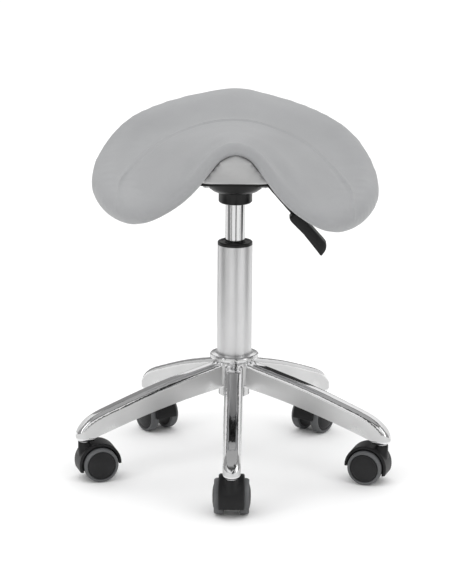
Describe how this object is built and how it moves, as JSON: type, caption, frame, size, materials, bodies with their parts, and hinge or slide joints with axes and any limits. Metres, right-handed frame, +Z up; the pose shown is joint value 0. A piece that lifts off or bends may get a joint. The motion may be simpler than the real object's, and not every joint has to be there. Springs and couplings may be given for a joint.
{
  "type": "dentist stool",
  "caption": "Saddle stool: dished saddle seat with a lift lever, gas-lift column, star base on twin-wheel castors.",
  "frame": {"origin": "on the floor, where the column's axis meets it", "axes": "+Z up along the column, front of the saddle towards -Y, +X to the sitter's left when facing the front"},
  "size_m": [0.4566, 0.4371, 0.529],
  "materials": {
    "chrome_plate": "bright chrome plate",
    "chrome_tube": "polished chrome tube",
    "lift_tube": "polished chrome tube",
    "black_bush": "moulded black plastic",
    "bearing_steel": "ground steel",
    "zinc_steel": "zinc-plated steel",
    "cage_plastic": "natural nylon",
    "bump_rubber": "black rubber",
    "piston_brass": "turned brass",
    "black_steel": "black powder coat",
    "seat_vinyl": "smooth matt vinyl",
    "foam": "moulded foam",
    "pan_board": "pressed plywood",
    "keel_plastic": "light grey moulded plastic",
    "shroud_plastic": "moulded black plastic",
    "lever_steel": "black painted steel strip",
    "paddle_plastic": "moulded black plastic",
    "hood_nylon": "moulded black nylon",
    "wheel_nylon": "moulded near-black nylon",
    "grey_tread": "soft grey tread"
  },
  "bodies": {
    "base": {"hub": "chrome_plate", "star_arms": "chrome_plate", "outer_column": "chrome_tube", "guide_bush": "black_bush", "lower_race": "bearing_steel", "castor_stems": "zinc_steel", "stem_grip_rings": "bearing_steel"},
    "spindle": {"piston_rod": "bearing_steel", "retaining_clip": "zinc_steel", "bearing_balls": "bearing_steel", "bearing_cage": "cage_plastic", "upper_race": "bearing_steel", "bump_stop": "bump_rubber", "piston_head": "piston_brass"},
    "seat": {"pressure_tube": "lift_tube", "tube_end_seal": "bump_rubber", "valve_body": "piston_brass", "taper_socket": "black_steel", "seat_cover": "seat_vinyl", "foam_cushion": "foam", "seat_pan": "pan_board", "underside_cover": "keel_plastic", "threaded_inserts": "zinc_steel", "mounting_plate": "black_steel", "shroud_cup": "shroud_plastic", "plate_screws": "zinc_steel", "lever_pivot_pin": "zinc_steel"},
    "lever": {"lever_arm": "lever_steel", "lever_paddle": "paddle_plastic"},
    "release_pin": {"release_pin": "bearing_steel"},
    "castor_1": {"castor_hood_1": "hood_nylon", "castor_axle_1": "zinc_steel"},
    "left_roller_1": {"left_wheel_1": "wheel_nylon", "left_tread_1": "grey_tread"},
    "right_roller_1": {"right_wheel_1": "wheel_nylon", "right_tread_1": "grey_tread"},
    "castor_2": {"castor_hood_2": "hood_nylon", "castor_axle_2": "zinc_steel"},
    "left_roller_2": {"left_wheel_2": "wheel_nylon", "left_tread_2": "grey_tread"},
    "right_roller_2": {"right_wheel_2": "wheel_nylon", "right_tread_2": "grey_tread"},
    "castor_3": {"castor_hood_3": "hood_nylon", "castor_axle_3": "zinc_steel"},
    "left_roller_3": {"left_wheel_3": "wheel_nylon", "left_tread_3": "grey_tread"},
    "right_roller_3": {"right_wheel_3": "wheel_nylon", "right_tread_3": "grey_tread"},
    "castor_4": {"castor_hood_4": "hood_nylon", "castor_axle_4": "zinc_steel"},
    "left_roller_4": {"left_wheel_4": "wheel_nylon", "left_tread_4": "grey_tread"},
    "right_roller_4": {"right_wheel_4": "wheel_nylon", "right_tread_4": "grey_tread"},
    "castor_5": {"castor_hood_5": "hood_nylon", "castor_axle_5": "zinc_steel"},
    "left_roller_5": {"left_wheel_5": "wheel_nylon", "left_tread_5": "grey_tread"},
    "right_roller_5": {"right_wheel_5": "wheel_nylon", "right_tread_5": "grey_tread"}
  },
  "joints": [
    {"name": "seat_swivel", "type": "hinge", "parent": "base", "child": "spindle", "pos_m": [0, 0, 0.12], "axis": [0, 0, 1], "continuous": true},
    {"name": "seat_height", "type": "slide", "parent": "spindle", "child": "seat", "axis": [0, 0, 1], "range_m": [0, 0.14]},
    {"name": "height_lever", "type": "hinge", "parent": "seat", "child": "lever", "pos_m": [0.03, 0, 0.4368], "axis": [0, -1, 0], "range_deg": [0, 5], "stiffness_Nm_per_rad": 2, "springref_deg": -5.73},
    {"name": "release_pin_slide", "type": "slide", "parent": "seat", "child": "release_pin", "axis": [0, 0, -1], "range_m": [0, 0.0028]},
    {"name": "castor_1_swivel", "type": "hinge", "parent": "base", "child": "castor_1", "pos_m": [-0.00235, -0.22399, 0.05], "axis": [0, 0, 1], "continuous": true},
    {"name": "left_wheel_1_spin", "type": "hinge", "parent": "castor_1", "child": "left_roller_1", "pos_m": [-0.00214, -0.20399, 0.025], "axis": [0.9999, -0.0105, 0], "continuous": true},
    {"name": "right_wheel_1_spin", "type": "hinge", "parent": "castor_1", "child": "right_roller_1", "pos_m": [-0.00214, -0.20399, 0.025], "axis": [0.9999, -0.0105, 0], "continuous": true},
    {"name": "castor_2_swivel", "type": "hinge", "parent": "base", "child": "castor_2", "pos_m": [0.2123, -0.07145, 0.05], "axis": [0, 0, 1], "continuous": true},
    {"name": "left_wheel_2_spin", "type": "hinge", "parent": "castor_2", "child": "left_roller_2", "pos_m": [0.19334, -0.06507, 0.025], "axis": [0.319, 0.9478, 0], "continuous": true},
    {"name": "right_wheel_2_spin", "type": "hinge", "parent": "castor_2", "child": "right_roller_2", "pos_m": [0.19334, -0.06507, 0.025], "axis": [0.319, 0.9478, 0], "continuous": true},
    {"name": "castor_3_swivel", "type": "hinge", "parent": "base", "child": "castor_3", "pos_m": [0.13355, 0.17983, 0.05], "axis": [0, 0, 1], "continuous": true},
    {"name": "left_wheel_3_spin", "type": "hinge", "parent": "castor_3", "child": "left_roller_3", "pos_m": [0.12163, 0.16378, 0.025], "axis": [-0.8028, 0.5962, 0], "continuous": true},
    {"name": "right_wheel_3_spin", "type": "hinge", "parent": "castor_3", "child": "right_roller_3", "pos_m": [0.12163, 0.16378, 0.025], "axis": [-0.8028, 0.5962, 0], "continuous": true},
    {"name": "castor_4_swivel", "type": "hinge", "parent": "base", "child": "castor_4", "pos_m": [-0.12976, 0.18259, 0.05], "axis": [0, 0, 1], "continuous": true},
    {"name": "left_wheel_4_spin", "type": "hinge", "parent": "castor_4", "child": "left_roller_4", "pos_m": [-0.11817, 0.16629, 0.025], "axis": [-0.8151, -0.5793, 0], "continuous": true},
    {"name": "right_wheel_4_spin", "type": "hinge", "parent": "castor_4", "child": "right_roller_4", "pos_m": [-0.11817, 0.16629, 0.025], "axis": [-0.8151, -0.5793, 0], "continuous": true},
    {"name": "castor_5_swivel", "type": "hinge", "parent": "base", "child": "castor_5", "pos_m": [-0.21375, -0.06699, 0.05], "axis": [0, 0, 1], "continuous": true},
    {"name": "left_wheel_5_spin", "type": "hinge", "parent": "castor_5", "child": "left_roller_5", "pos_m": [-0.19467, -0.061, 0.025], "axis": [0.299, -0.9542, 0], "continuous": true},
    {"name": "right_wheel_5_spin", "type": "hinge", "parent": "castor_5", "child": "right_roller_5", "pos_m": [-0.19467, -0.061, 0.025], "axis": [0.299, -0.9542, 0], "continuous": true}
  ],
  "couplings": [
    {"joint": "release_pin_slide", "follows": "height_lever", "m_per_rad": 0.03}
  ]
}
